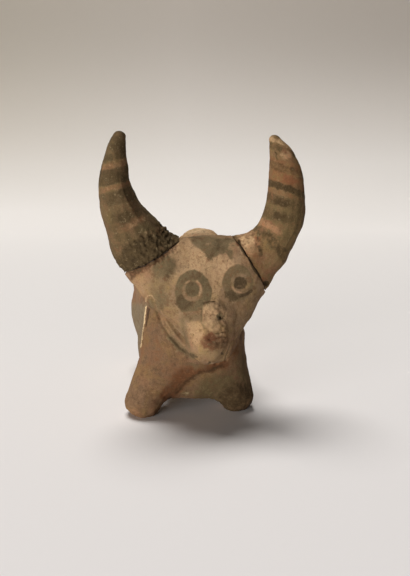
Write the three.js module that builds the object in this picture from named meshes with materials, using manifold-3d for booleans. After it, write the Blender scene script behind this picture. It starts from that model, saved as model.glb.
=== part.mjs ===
// A small zebu bull of fired clay, modelled by hand. Millimetres, +Z up.
// The bull faces -Y, so its own left side is +X. It stands on the plane z = 0, and the origin is the
// middle of its box on that plane. Each lump of clay that the maker rolled, pinched and pressed on to
// the trunk is its own piece, with the seam of the joint left open between them. Both horns have
// broken off at the root and are glued back, so each break has two rough faces that match, with a
// film of glue between them. Places below are measured from a point on the ground under the trunk.
import * as THREE from "three";
import { mergeVertices } from "three/addons/utils/BufferGeometryUtils.js";
import Module from "manifold-3d";

// Joints between lumps of clay: the width of a closed seam, how deep the trunk runs on under a lump,
// the fillet that a wet thumb leaves, and how far past it a lump is smeared over its neighbour. The
// fillet stands a quarter of its size proud of the two lumps.
const seamWidth = 0.3;
const coreDepth = 1.0;
const thumbFillet = 7;
const smearPastFillet = 1.6;
const smear = thumbFillet / 4 + smearPastFillet;

// Trunk: a rolled barrel that lies along Y, from behind the chest to the rump.
const trunkWidth = 35;
const trunkHeight = 35;
const trunkLength = 66;
const trunkFrontY = -27;
const trunkCentreY = trunkFrontY + trunkLength / 2;
const trunkRearY = trunkFrontY + trunkLength;
const trunkCentreZ = 30;
const trunkSquareness = 2.6;

// Forequarters: a saddle of clay with the chest in front and a stub leg on each side.
const chestWidth = 32;
const chestDepth = 24;
const chestHeight = 48;
const chestY = -20;
const chestZ = 26.2;
const shoulderSpread = 15.5;
const shoulderRadius = 8.6;
const shoulderZ = 24;
const foreFootRadius = 6.5;
const foreFootY = -23;
const foreFootRightX = -18.3;
const foreFootLeftX = 14.6;
const foreArchX = -0.8;
const foreArchWidth = 22.5;
const foreArchHeight = 5.1;

// Hindquarters: a second saddle, which closes the rump behind the trunk with clay this thick.
const rumpThickness = 4.5;
const haunchWidth = 33;
const haunchDepth = 32;
const haunchHeight = 37;
const haunchY = trunkRearY + rumpThickness - haunchDepth / 2;
const haunchZ = 28;
const thighSpread = 15;
const thighRadius = 8.5;
const thighZ = 20;
const hindFootRadius = 6.2;
const hindFootBehind = 5.5;
const hindFootY = haunchY + hindFootBehind;
const hindFootX = 9.8;
const hindArchWidth = 10.5;
const hindArchHeight = 8;

// Every foot is a ball of clay pressed flat on the ground this far below its middle.
const footMiddleZ = 5;

// Hump: an egg of clay on the withers, leaning back.
const humpWidth = 24;
const humpLength = 27;
const humpHeight = 34;
const humpTopZ = 63.2;
const humpX = 4.4;
const humpY = -7;
const humpLean = 14;

// Tail: a thin roll that hangs down the middle of the rump.
const tailRootRadius = 2.6;
const tailTipRadius = 1.7;
const tailRootZ = 40;
const tailTipZ = 16;
const tailProud = 0.9;
const tailSway = 0.8;

// Head: a broad flat brow with a cheekbone on each side, both tapering to a blunt muzzle.
const headX = 2.6;
const browWidth = 31;
const browY = -33;
const browZ = 46;
const cheekSpread = 28;
const cheekRadius = 6.8;
const cheekY = -31;
const cheekZ = 47.5;
const pollWidth = 33;
const pollRadius = 5.2;
const pollTopZ = 62.5;
const muzzleX = 3.8;
const muzzleRadius = 5.4;
const muzzleY = -39;
const muzzleZ = 30.2;
const faceThickness = 19;
const faceTilt = 14;
const headFillet = 5;
const neckRadius = 12.5;
const neckFrontY = -29;
const neckRearY = -10;
const neckFrontZ = 45;
const neckRearZ = 42;

// Face: two flat swellings under the painted eyes, a low ridge for the nose, and two pits in it.
const rightEye = { x: -3.2, z: 47 };
const leftEye = { x: 11.4, z: 49.4 };
const eyeWidth = 11.4;
const eyeHeight = 12.6;
const eyeDepth = 4;
const eyeProud = 0.7;
const noseWidth = 8;
const noseTopZ = 41;
const noseFootZ = 31;
const noseProud = 1.1;
const faceFillet = 2;
const pitRadius = 1.3;
const pitDepth = 1.6;
const upperPit = { x: 5.2, z: 39.2 };
const lowerPit = { x: 1.4, z: 33 };

// Horns: each is a tapering crescent that leaves the brow at its own angle, in degrees above +X.
// A reach is how far the horn holds its direction at that end, and a larger taper keeps it thick
// for longer.
const rightHorn = {
  rootX: -14.8,
  rootZ: 56,
  rootRadius: 8.9,
  rootAngle: 127,
  rootReach: 16,
  tipX: -24.8,
  tipZ: 94.2,
  tipRadius: 2,
  tipAngle: 72,
  tipReach: 13,
  taper: 1.7,
};
const leftHorn = {
  rootX: 17.1,
  rootZ: 53.8,
  rootRadius: 8.1,
  rootAngle: 31,
  rootReach: 17,
  tipX: 23.8,
  tipZ: 93.4,
  tipRadius: 1.7,
  tipAngle: 112,
  tipReach: 17,
  taper: 2.2,
};
const hornRootY = -31;
const hornTipY = -35;

// Breaks at the horn roots: the height of the grain on the broken faces, the width of the block that
// cuts them, in root radii, and its depth, the film of glue, the clearance on each side of it, and
// how far the film stops short of the outside.
const breakGrain = 0.45;
const breakSpan = 3.1;
const breakBlockDepth = 12;
const glueThickness = 0.3;
const glueClearance = 0.2;
const glueRecess = 0.9;

// The room around a lump in which its skin is looked for, the fineness of the triangles, and the
// distance at which two points of a cut count as one.
const roomAround = 8;
const bodyPitch = 3.2;
const headPitch = 2.3;
const ringSides = 16;
const breakSegments = 9;
const pointTolerance = 0.002;

const wasm = await Module();
wasm.setup();

const at = (x, y, z) => new THREE.Vector3(x, y, z);
const radians = THREE.MathUtils.degToRad;
const { clamp, lerp } = THREE.MathUtils;

// A lump is a function of a point: the distance in mm to the lump's skin, negative inside the clay.

function roll(from, to, fromRadius, toRadius) {
  const along = to.clone().sub(from);
  const lengthSquared = along.lengthSq();
  const offset = new THREE.Vector3();
  return (point) => {
    offset.copy(point).sub(from);
    const share = clamp(offset.dot(along) / lengthSquared, 0, 1);
    return offset.addScaledVector(along, -share).length() - lerp(fromRadius, toRadius, share);
  };
}

function barrel(centre, size, squareness) {
  const smallest = Math.min(size.x, size.y, size.z) / 2;
  return (point) => {
    const across = 2 * Math.hypot((point.x - centre.x) / size.x, (point.z - centre.z) / size.z);
    const along = (2 * Math.abs(point.y - centre.y)) / size.y;
    return ((across ** squareness + along ** squareness) ** (1 / squareness) - 1) * smallest;
  };
}

function egg(centre, size, lean = 0) {
  const halfSize = size.clone().divideScalar(2);
  const upright = new THREE.Quaternion().setFromAxisAngle(at(1, 0, 0), radians(lean));
  const scaled = new THREE.Vector3();
  return (point) => {
    scaled.copy(point).sub(centre).applyQuaternion(upright).divide(halfSize);
    const share = scaled.length();
    const slope = scaled.divide(halfSize).length();
    return slope === 0 ? -Math.min(...halfSize.toArray()) : (share * (share - 1)) / slope;
  };
}

// A tunnel along Y that keeps the clay out from under an arch.
const tunnel = (x, width, height) => (point) =>
  height - Math.hypot(((point.x - x) * 2 * height) / width, point.z);

// Presses a lump flat along one direction, about a point on its middle plane.
function flattened(lump, middle, direction, share) {
  const moved = new THREE.Vector3();
  return (point) => {
    const depth = moved.copy(point).sub(middle).dot(direction);
    return lump(moved.copy(point).addScaledVector(direction, depth / share - depth)) * share;
  };
}

// Joins lumps, with each joint smoothed to a fillet.
function blend(fillet, ...lumps) {
  return (point) =>
    lumps
      .map((lump) => lump(point))
      .reduce((a, b) => {
        const overlap = Math.max(fillet - Math.abs(a - b), 0) / fillet;
        return Math.min(a, b) - (overlap * overlap * fillet) / 4;
      });
}

const common = (...lumps) => (point) => Math.max(...lumps.map((lump) => lump(point)));
const joined = (lumps) => (point) => Math.min(...lumps.map((lump) => lump(point)));
const grown = (lump, by) => (point) => lump(point) - by;

// The direction in which the distance to a lump's skin rises, and how fast it does.
function slopeAt(lump, point) {
  const step = 0.02;
  const slope = new THREE.Vector3();
  const there = new THREE.Vector3();
  for (const axis of ["x", "y", "z"]) {
    there.copy(point)[axis] += step;
    const ahead = lump(there);
    there[axis] -= 2 * step;
    slope[axis] = (ahead - lump(there)) / (2 * step);
  }
  return slope;
}

// How far a ray travels from inside a lump to its skin.
function reach(lump, from, ray) {
  const stride = 0.5;
  const halvings = 12;
  const probe = new THREE.Vector3();
  const inside = (distance) => lump(probe.copy(from).addScaledVector(ray, distance)) < 0;
  let far = stride;
  while (inside(far)) far += stride;
  let near = far - stride;
  for (let halving = 0; halving < halvings; halving++) {
    const middle = (near + far) / 2;
    if (inside(middle)) near = middle;
    else far = middle;
  }
  return far;
}

// A closed skin of even triangles over a lump. Each cell of a grid that the surface crosses holds
// one vertex, which is drawn on to the surface and spread evenly along it.
function skin(lump, box, pitch) {
  const size = box.getSize(new THREE.Vector3());
  const [nx, ny, nz] = size.toArray().map((length) => Math.ceil(length / pitch) + 1);
  const stride = [1, nx, nx * ny];
  const indexOf = (i, j, k) => i * stride[0] + j * stride[1] + k * stride[2];
  const place = (i, j, k) => at(i, j, k).multiplyScalar(pitch).add(box.min);
  const values = new Float32Array(nx * ny * nz);
  for (let k = 0; k < nz; k++)
    for (let j = 0; j < ny; j++)
      for (let i = 0; i < nx; i++) values[indexOf(i, j, k)] = lump(place(i, j, k));

  const corners = Array.from({ length: 8 }, (_, c) => [c & 1, (c >> 1) & 1, (c >> 2) & 1]);
  const edges = corners.flatMap((from) =>
    [0, 1, 2].filter((axis) => !from[axis]).map((axis) => [from, from.with(axis, 1)]),
  );
  const vertexOf = new Int32Array(values.length).fill(-1);
  const vertices = [];
  for (let k = 0; k < nz - 1; k++)
    for (let j = 0; j < ny - 1; j++)
      for (let i = 0; i < nx - 1; i++) {
        const crossing = new THREE.Vector3();
        let crossings = 0;
        for (const [from, to] of edges) {
          const a = values[indexOf(i + from[0], j + from[1], k + from[2])];
          const b = values[indexOf(i + to[0], j + to[1], k + to[2])];
          if (a < 0 === b < 0) continue;
          crossing.add(at(...from).lerp(at(...to), a / (a - b)));
          crossings += 1;
        }
        if (!crossings) continue;
        vertexOf[indexOf(i, j, k)] = vertices.length;
        vertices.push(place(i, j, k).addScaledVector(crossing, pitch / crossings));
      }

  const triangles = [];
  for (let k = 1; k < nz - 1; k++)
    for (let j = 1; j < ny - 1; j++)
      for (let i = 1; i < nx - 1; i++)
        for (let axis = 0; axis < 3; axis++) {
          const here = indexOf(i, j, k);
          const inside = values[here] < 0;
          if (inside === values[here + stride[axis]] < 0) continue;
          const u = stride[(axis + 1) % 3];
          const v = stride[(axis + 2) % 3];
          const quad = [here, here - u, here - u - v, here - v].map((cell) => vertexOf[cell]);
          if (!inside) quad.reverse();
          const [a, b, c, d] = quad;
          const acrossAC = vertices[a].distanceTo(vertices[c]) < vertices[b].distanceTo(vertices[d]);
          triangles.push(...(acrossAC ? [a, b, c, a, c, d] : [b, c, d, b, d, a]));
        }

  const neighbours = vertices.map(() => new Set());
  for (let t = 0; t < triangles.length; t += 3)
    for (let corner = 0; corner < 3; corner++)
      neighbours[triangles[t + corner]].add(triangles[t + ((corner + 1) % 3)]);
  const spreads = 4;
  const pulls = 2;
  for (let round = 0; round < spreads; round++)
    vertices.forEach((vertex, n) => {
      const mean = new THREE.Vector3();
      for (const other of neighbours[n]) mean.add(vertices[other]);
      vertex.lerp(mean.divideScalar(neighbours[n].size), 0.5);
      for (let pull = 0; pull < pulls; pull++) {
        const slope = slopeAt(lump, vertex);
        vertex.addScaledVector(slope, -lump(vertex) / Math.max(slope.lengthSq(), 0.1));
      }
    });
  return new THREE.BufferGeometry().setFromPoints(vertices).setIndex(triangles);
}

// Rings of points along an axis, each drawn out square to it as far as the skin of a lump, with a
// point at each end to close them. The axis gives a centre and a direction at each station.
function drawn(lump, axis, stations) {
  const vertices = [];
  const triangles = [];
  const rings = stations.length - 2;
  stations.forEach((station, n) => {
    const { centre, direction } = axis(station);
    if (n === 0 || n > rings) {
      vertices.push(centre);
      return;
    }
    const across = Math.abs(direction.y) > 0.7 ? at(1, 0, 0) : at(0, 1, 0);
    const side = across.cross(direction).normalize();
    const front = direction.clone().cross(side);
    for (let s = 0; s < ringSides; s++) {
      const angle = (2 * Math.PI * s) / ringSides;
      const ray = side.clone().multiplyScalar(Math.cos(angle)).addScaledVector(front, Math.sin(angle));
      vertices.push(centre.clone().addScaledVector(ray, reach(lump, centre, ray)));
    }
  });
  const on = (ring, s) => 1 + ring * ringSides + (s % ringSides);
  const last = vertices.length - 1;
  for (let s = 0; s < ringSides; s++) {
    triangles.push(0, on(0, s + 1), on(0, s));
    for (let ring = 0; ring < rings - 1; ring++) {
      triangles.push(on(ring, s), on(ring, s + 1), on(ring + 1, s + 1));
      triangles.push(on(ring, s), on(ring + 1, s + 1), on(ring + 1, s));
    }
    triangles.push(last, on(rings - 1, s), on(rings - 1, s + 1));
  }
  return new THREE.BufferGeometry().setFromPoints(vertices).setIndex(triangles);
}

function solid(geometry) {
  const bare = geometry.clone();
  bare.deleteAttribute("normal");
  bare.deleteAttribute("uv");
  const merged = mergeVertices(bare, 1e-4);
  return new wasm.Manifold(
    new wasm.Mesh({
      numProp: 3,
      tolerance: pointTolerance,
      vertProperties: merged.getAttribute("position").array,
      triVerts: new Uint32Array(merged.index.array),
    }),
  );
}

function geometryOf(body) {
  const mesh = body.getMesh();
  return new THREE.BufferGeometry()
    .setAttribute("position", new THREE.BufferAttribute(mesh.vertProperties, 3))
    .setIndex(new THREE.BufferAttribute(mesh.triVerts, 1));
}

// The trunk, its two saddles and the hump, blended into one body.

const trunkLump = barrel(
  at(0, trunkCentreY, trunkCentreZ),
  at(trunkWidth, trunkLength, trunkHeight),
  trunkSquareness,
);

const foreLegs = [foreFootRightX, foreFootLeftX].map((x) =>
  roll(
    at((Math.sign(x) * shoulderSpread) / 2, foreFootY + 2, shoulderZ),
    at(x, foreFootY, footMiddleZ),
    shoulderRadius,
    foreFootRadius,
  ),
);
const chestLump = egg(at(0, chestY, chestZ), at(chestWidth, chestDepth, chestHeight));
const foreLump = common(
  blend(thumbFillet, chestLump, ...foreLegs),
  tunnel(foreArchX, foreArchWidth, foreArchHeight),
);

const hindLegPair = [-1, 1].map((side) =>
  roll(
    at((side * thighSpread) / 2, haunchY, thighZ),
    at(side * hindFootX, hindFootY, footMiddleZ),
    thighRadius,
    hindFootRadius,
  ),
);
const haunchLump = egg(at(0, haunchY, haunchZ), at(haunchWidth, haunchDepth, haunchHeight));
const hindLump = common(
  blend(thumbFillet, haunchLump, ...hindLegPair),
  tunnel(0, hindArchWidth, hindArchHeight),
);

const humpLump = egg(
  at(humpX, humpY, humpTopZ - humpHeight / 2),
  at(humpWidth, humpLength, humpHeight),
  -humpLean,
);

const bodyLump = blend(thumbFillet, trunkLump, foreLump, hindLump, humpLump);
const bodyBox = new THREE.Box3(
  at(foreFootRightX - foreFootRadius, chestY - chestDepth / 2, footMiddleZ - foreFootRadius),
  at(foreFootLeftX + foreFootRadius, haunchY + haunchDepth / 2, humpTopZ),
).expandByScalar(roomAround);
const bodySkin = (lump) => solid(skin(lump, bodyBox, bodyPitch));
const groundSize = 2 * bodyBox.getSize(new THREE.Vector3()).y;
const ground = solid(
  new THREE.BoxGeometry(groundSize, groundSize, groundSize).translate(0, 0, -groundSize / 2),
);
const body = bodySkin(bodyLump).subtract(ground);

// The barrel as it runs on under the lumps. It fits with a seam's clearance in their hollow side.
function trunkCore(depth) {
  const halfLength = trunkLength / 2 - depth;
  const half = [0, 0.3, 0.55, 0.75, 0.89, 0.97, 0.995, 1];
  const shares = [...half.slice(1).reverse().map((share) => -share), ...half];
  const axis = (share) => ({
    centre: at(0, trunkCentreY + share * halfLength, trunkCentreZ),
    direction: at(0, 1, 0),
  });
  return solid(drawn(grown(trunkLump, -depth), axis, shares));
}
const socket = trunkCore(coreDepth - seamWidth);
const territory = (lump) => bodySkin(grown(lump, smear));
const clearing = (lump) => bodySkin(grown(lump, smear + seamWidth));

const hump = body.intersect(territory(humpLump)).subtract(socket);
const frontLegs = body.intersect(territory(foreLump)).subtract(clearing(humpLump)).subtract(socket);
const hindLegs = body.intersect(territory(hindLump)).subtract(clearing(humpLump)).subtract(socket);
const trunk = body
  .subtract(clearing(foreLump))
  .subtract(clearing(hindLump))
  .subtract(clearing(humpLump))
  .add(trunkCore(coreDepth));

// The curve, the thickness and the root of each horn.

function hornOf(horn) {
  const heading = (angle) => at(Math.cos(radians(angle)), 0, Math.sin(radians(angle)));
  const root = at(horn.rootX, hornRootY, horn.rootZ);
  const tip = at(horn.tipX, hornTipY, horn.tipZ);
  const direction = heading(horn.rootAngle);
  const curve = new THREE.CubicBezierCurve3(
    root,
    root.clone().addScaledVector(direction, horn.rootReach),
    tip.clone().addScaledVector(heading(horn.tipAngle), -horn.tipReach),
    tip,
  );
  const steps = 14;
  const points = curve.getSpacedPoints(steps);
  const radii = points.map((_, n) => lerp(horn.rootRadius, horn.tipRadius, (n / steps) ** horn.taper));
  const buried = root.clone().addScaledVector(direction, -horn.rootRadius);
  const rolls = [roll(buried, root, horn.rootRadius, horn.rootRadius)];
  for (let n = 0; n < steps; n++) rolls.push(roll(points[n], points[n + 1], radii[n], radii[n + 1]));
  return { ...horn, root, direction, curve, lump: joined(rolls) };
}
const horns = { right: hornOf(rightHorn), left: hornOf(leftHorn) };

// The face, which hangs from the neck in front of the chest.

const faceNormal = at(0, -Math.cos(radians(faceTilt)), Math.sin(radians(faceTilt)));
const browMiddle = at(headX, browY, browZ);
const muzzleMiddle = at(muzzleX, muzzleY, muzzleZ);
const pollZ = pollTopZ - pollRadius;
const pollHalf = pollWidth / 2 - pollRadius;
const browLump = flattened(
  roll(browMiddle, muzzleMiddle, browWidth / 2, muzzleRadius),
  browMiddle,
  faceNormal,
  faceThickness / browWidth,
);
const cheekLumps = [-1, 1].map((side) =>
  roll(at(headX + (side * cheekSpread) / 2, cheekY, cheekZ), muzzleMiddle, cheekRadius, muzzleRadius),
);
const pollLump = roll(
  at(headX - pollHalf, browY, pollZ),
  at(headX + pollHalf, browY, pollZ),
  pollRadius,
  pollRadius,
);
const faceLump = blend(headFillet, browLump, ...cheekLumps, pollLump);
const onFace = (lump, { x, z }) => at(x, browY - reach(lump, at(x, browY, z), at(0, -1, 0)), z);

const eyeLumps = [rightEye, leftEye].map((eye) =>
  egg(
    onFace(faceLump, eye).add(at(0, eyeDepth / 2 - eyeProud, 0)),
    at(eyeWidth, eyeDepth, eyeHeight),
    -faceTilt,
  ),
);
const noseEnds = [noseTopZ, noseFootZ].map((z) =>
  onFace(faceLump, { x: headX, z }).add(at(0, noseWidth / 2 - noseProud, 0)),
);
const noseLump = roll(...noseEnds, noseWidth / 2, noseWidth / 2);
const neckLump = roll(
  at(headX, neckFrontY, neckFrontZ),
  at(headX / 2, neckRearY, neckRearZ),
  neckRadius,
  neckRadius,
);
const headLump = blend(
  headFillet,
  blend(faceFillet, faceLump, noseLump, ...eyeLumps),
  neckLump,
  horns.right.lump,
  horns.left.lump,
);

// A block with one rough face, which lies on a break, and with the rest of it to one side: out along
// the horn or back into the head. Turning it inside out for that keeps the rough faces all alike.
function brokenBlock(horn, offset, outwards) {
  const width = horn.rootRadius * breakSpan;
  const block = new THREE.BoxGeometry(width, width, breakBlockDepth, breakSegments, breakSegments, 1);
  const position = block.getAttribute("position");
  for (let n = 0; n < position.count; n++) {
    const [x, y] = [position.getX(n), position.getY(n)];
    const coarse = Math.sin(x * 0.9 + 1) * Math.cos(y * 0.7);
    const fine = Math.sin(y * 1.5 + x * 0.6) / 2;
    const onBreak = position.getZ(n) > 0;
    position.setZ(n, offset + (onBreak ? breakGrain * (coarse + fine) : outwards * breakBlockDepth));
  }
  if (outwards > 0) block.getIndex().array.reverse();
  const turn = new THREE.Quaternion().setFromUnitVectors(at(0, 0, 1), horn.direction);
  return solid(block.applyMatrix4(new THREE.Matrix4().compose(horn.root, turn, at(1, 1, 1))));
}

const stumpMargin = 3;
const shortOf = ({ root, direction }) => (point) => point.clone().sub(root).dot(direction) - stumpMargin;
const stumpedHead = common(headLump, shortOf(horns.right), shortOf(horns.left));
const headBox = new THREE.Box3()
  .setFromPoints([muzzleMiddle, at(headX / 2, neckRearY, neckRearZ), horns.right.root, horns.left.root])
  .expandByScalar(neckRadius + roomAround);
const faceGap = glueThickness / 2 + glueClearance;
let head = solid(skin(stumpedHead, headBox, headPitch)).subtract(bodySkin(grown(bodyLump, seamWidth)));
for (const horn of Object.values(horns)) head = head.subtract(brokenBlock(horn, -faceGap, 1));
for (const pit of [upperPit, lowerPit]) {
  const drill = new THREE.ConeGeometry(pitRadius, pitDepth * 2, 10).rotateX(Math.PI / 2);
  head = head.subtract(solid(drill.translate(...onFace(headLump, pit).toArray())));
}

// Each horn from the break to the tip, and the film of glue in the break.

const flare = 2.5;
const hornSkin = (horn) => common(headLump, grown(horn.lump, flare));
function hornAxis(horn) {
  const length = horn.curve.getLength();
  return (s) => {
    const share = clamp(s / length, 0, 1);
    const direction = horn.curve.getTangentAt(share);
    const centre = horn.curve.getPointAt(share).addScaledVector(direction, s - share * length);
    return { centre, direction };
  };
}
function hornPiece(horn) {
  const length = horn.curve.getLength();
  const rings = 18;
  const buried = 2;
  const stations = [-buried - 0.5];
  for (let ring = 0; ring < rings; ring++) stations.push(lerp(-buried, length, ring / rings));
  for (const share of [0, 0.5, 0.8, 0.94, 0.99]) stations.push(length + horn.tipRadius * share);
  return solid(drawn(hornSkin(horn), hornAxis(horn), stations)).subtract(brokenBlock(horn, faceGap, -1));
}
function gluePiece(horn) {
  const half = glueThickness / 2;
  return solid(drawn(grown(hornSkin(horn), -glueRecess), hornAxis(horn), [-2, -1.9, -1, 0, 1, 1.9, 2]))
    .subtract(brokenBlock(horn, half, 1))
    .subtract(brokenBlock(horn, -half, -1));
}

// The tail, laid down the rump.

const rump = (z) => {
  const from = at(0, haunchY, z);
  return from.clone().setY(haunchY + reach(bodyLump, from, at(0, 1, 0)));
};
const tailRadius = (share) => lerp(tailRootRadius, tailTipRadius, share);
const tailCurve = new THREE.CatmullRomCurve3(
  [0, 0.35, 0.7, 1].map((share) =>
    rump(lerp(tailRootZ, tailTipZ, share)).add(
      at(tailSway * Math.sin(3 * share), tailProud - tailRadius(share) / 2, 0),
    ),
  ),
);
const tailSteps = 10;
const tailPoints = tailCurve.getSpacedPoints(tailSteps);
const tailLump = joined(
  tailPoints.slice(1).map((point, n) =>
    roll(tailPoints[n], point, tailRadius(n / tailSteps), tailRadius((n + 1) / tailSteps)),
  ),
);
const tailLength = tailCurve.getLength();
const tailAxis = (s) => {
  const share = clamp(s / tailLength, 0, 1);
  const direction = tailCurve.getTangentAt(share);
  const centre = tailCurve.getPointAt(share).addScaledVector(direction, s - share * tailLength);
  return { centre, direction };
};
const tailStations = [-0.97, -0.8, -0.4].map((share) => tailRootRadius * share);
for (let ring = 0; ring <= tailSteps; ring++) tailStations.push((tailLength * ring) / tailSteps);
for (const share of [0.5, 0.85, 0.98]) tailStations.push(tailLength + tailTipRadius * share);
const tail = solid(drawn(tailLump, tailAxis, tailStations)).subtract(bodySkin(grown(bodyLump, seamWidth)));

// The pieces together, each with the clay or paint that covers most of it.

const clays = { bare: 0x9a7452, chest: 0x8a6544, painted: 0x5c4a33, pale: 0xa5845f, glue: 0x3a2a1a };
const figurine = new THREE.Group();
function add(name, piece, colour) {
  const material = new THREE.MeshStandardMaterial({ color: colour, roughness: 0.92, metalness: 0 });
  const mesh = new THREE.Mesh(geometryOf(piece), material);
  mesh.name = name;
  figurine.add(mesh);
}
add("trunk", trunk, clays.bare);
add("front_legs", frontLegs, clays.chest);
add("hind_legs", hindLegs, clays.bare);
add("hump", hump, clays.pale);
add("tail", tail, clays.bare);
add("head", head, clays.pale);
for (const [side, horn] of Object.entries(horns)) {
  add(`horn_${side}`, hornPiece(horn), clays.painted);
  add(`horn_${side}_glue`, gluePiece(horn), clays.glue);
}

// Moves the bull so that the origin is the middle of its box, on the ground.
const middle = new THREE.Box3().setFromObject(figurine, true).getCenter(new THREE.Vector3());
figurine.position.set(-middle.x, -middle.y, 0);
figurine.updateMatrixWorld(true);

export default figurine;
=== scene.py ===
import math

import bmesh
import bpy
import numpy as np
from mathutils import Matrix, Vector, noise


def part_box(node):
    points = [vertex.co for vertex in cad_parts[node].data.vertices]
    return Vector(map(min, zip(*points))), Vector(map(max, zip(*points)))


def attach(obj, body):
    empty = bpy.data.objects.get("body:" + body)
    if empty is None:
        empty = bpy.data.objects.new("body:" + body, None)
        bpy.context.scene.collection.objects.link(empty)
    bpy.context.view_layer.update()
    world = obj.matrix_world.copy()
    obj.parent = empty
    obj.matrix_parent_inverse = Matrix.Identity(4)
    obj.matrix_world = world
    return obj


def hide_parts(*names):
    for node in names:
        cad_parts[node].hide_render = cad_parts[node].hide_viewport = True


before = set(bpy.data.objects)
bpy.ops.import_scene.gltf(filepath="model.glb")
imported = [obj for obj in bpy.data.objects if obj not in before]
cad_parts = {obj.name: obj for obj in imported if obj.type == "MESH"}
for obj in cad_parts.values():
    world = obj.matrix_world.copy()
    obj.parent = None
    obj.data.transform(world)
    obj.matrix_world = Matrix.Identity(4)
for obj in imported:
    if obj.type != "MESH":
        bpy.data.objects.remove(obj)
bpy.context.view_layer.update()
MM = 0.001

# The view.
# The camera stands in front of the bull, a little to its right and above it, and looks down at the
# face. Places are given in millimetres from the point on the ground under the trunk, and marks on
# the clay by their pixels in the photograph's frame.
PHOTO_WIDTH = 410
PHOTO_HEIGHT = 576
FOCAL_PIXELS = 673
DISTANCE = 240 * MM
NEAREST_SEEN = 10 * MM
ELEVATION = math.radians(12)
YAW = math.radians(10)
TRUNK_MIDDLE_Y = 6

trunk_low, trunk_high = (Vector(corner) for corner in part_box("trunk"))
trunk_middle = (trunk_low + trunk_high) / 2
under_trunk = Vector((trunk_middle.x, trunk_middle.y - TRUNK_MIDDLE_Y * MM, 0))


def spot(x, y, z):
    """A place in millimetres from the point on the ground under the trunk."""
    return under_trunk + Vector((x, y, z)) * MM


LOOK_AT = spot(5.29, -14, 42.1)
view_back = Vector(
    (
        -math.sin(YAW) * math.cos(ELEVATION),
        -math.cos(YAW) * math.cos(ELEVATION),
        math.sin(ELEVATION),
    )
)
view_right = Vector((math.cos(YAW), -math.sin(YAW), 0))
view_up = view_back.cross(view_right)
eye_point = LOOK_AT + view_back * DISTANCE

camera_data = bpy.data.cameras.new("camera")
camera_data.sensor_fit = "VERTICAL"
camera_data.lens = camera_data.sensor_height * FOCAL_PIXELS / PHOTO_HEIGHT
camera_data.clip_start = NEAREST_SEEN
camera = bpy.data.objects.new("camera", camera_data)
bpy.context.collection.objects.link(camera)
turned = Matrix((view_right, view_up, view_back)).transposed().to_4x4()
camera.matrix_world = Matrix.Translation(eye_point) @ turned
bpy.context.scene.camera = camera


def seen(points):
    """The pixels of the photograph at which points of the object show."""
    offset = points - np.array(eye_point)
    depth = -(offset @ np.array(view_back))
    x = PHOTO_WIDTH / 2 + FOCAL_PIXELS * (offset @ np.array(view_right)) / depth
    y = PHOTO_HEIGHT / 2 - FOCAL_PIXELS * (offset @ np.array(view_up)) / depth
    return x, y


# The clay body.
# The real bull is luted from lumps of wet clay and smoothed over with the fingers, so one skin runs
# across the trunk, legs, hump, head and horns. It is grown from the solids, relaxed until no facet
# is left, and then made uneven as fingers leave it.
VOXEL = 0.32 * MM
CLOSING = 0.42 * MM
RELAX_ROUNDS = 50
RELAX_OUT = 0.6
RELAX_BACK = -0.63
SAME_PLACE = 1e-7
# The size and the height of the dents and swells that the fingers left, in mm.
BODY_DENTS = [(11, 1.1), (4, 0.4), (1.3, 0.14)]
SKIN_NODES = ["trunk", "front_legs", "hind_legs", "hump", "head", "horn_right", "horn_left"]
SKIN_NODES += ["horn_right_glue", "horn_left_glue"]


def object_of(name, bm):
    """A new object with a mesh, which it takes over."""
    mesh = bpy.data.meshes.new(name)
    bm.to_mesh(mesh)
    bm.free()
    piece = bpy.data.objects.new(name, mesh)
    bpy.context.collection.objects.link(piece)
    return piece


def merged_copy(name, nodes):
    """A new object with the merged solids of some CAD nodes."""
    bm = bmesh.new()
    for node in nodes:
        bm.from_mesh(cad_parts[node].data)
    bmesh.ops.remove_doubles(bm, verts=bm.verts, dist=SAME_PLACE)
    return object_of(name, bm)


def modify(piece, kind, **settings):
    """Adds a modifier with its settings."""
    modifier = piece.modifiers.new(kind.lower(), kind)
    for key, value in settings.items():
        setattr(modifier, key, value)


def apply_modifiers(piece):
    """Bakes the modifiers of a piece into its mesh."""
    depsgraph = bpy.context.evaluated_depsgraph_get()
    mesh = bpy.data.meshes.new_from_object(piece.evaluated_get(depsgraph))
    piece.modifiers.clear()
    piece.data = mesh


def points_of(mesh):
    """The corner points of a mesh, one row each."""
    flat = np.empty(len(mesh.vertices) * 3)
    mesh.vertices.foreach_get("co", flat)
    return flat.reshape(-1, 3)


def normals_of(mesh):
    """The direction in which a mesh faces at each point."""
    flat = np.empty(len(mesh.vertices) * 3)
    mesh.vertex_normals.foreach_get("vector", flat)
    return flat.reshape(-1, 3)


def move_points(mesh, points):
    """Puts the points of a mesh in new places."""
    mesh.vertices.foreach_set("co", points.ravel())
    mesh.update()


def relax(piece, rounds):
    """Evens out the surface without shrinking it."""
    mesh = piece.data
    points = points_of(mesh)
    pairs = np.empty(len(mesh.edges) * 2, dtype=np.int32)
    mesh.edges.foreach_get("vertices", pairs)
    a, b = pairs.reshape(-1, 2).T
    count = np.bincount(a, minlength=len(points)) + np.bincount(b, minlength=len(points))
    for share in [RELAX_OUT, RELAX_BACK] * rounds:
        for axis in range(3):
            values = points[:, axis]
            total = np.bincount(a, values[b], len(values)) + np.bincount(b, values[a], len(values))
            points[:, axis] = values + share * (total / count - values)
    move_points(mesh, points)


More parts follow.
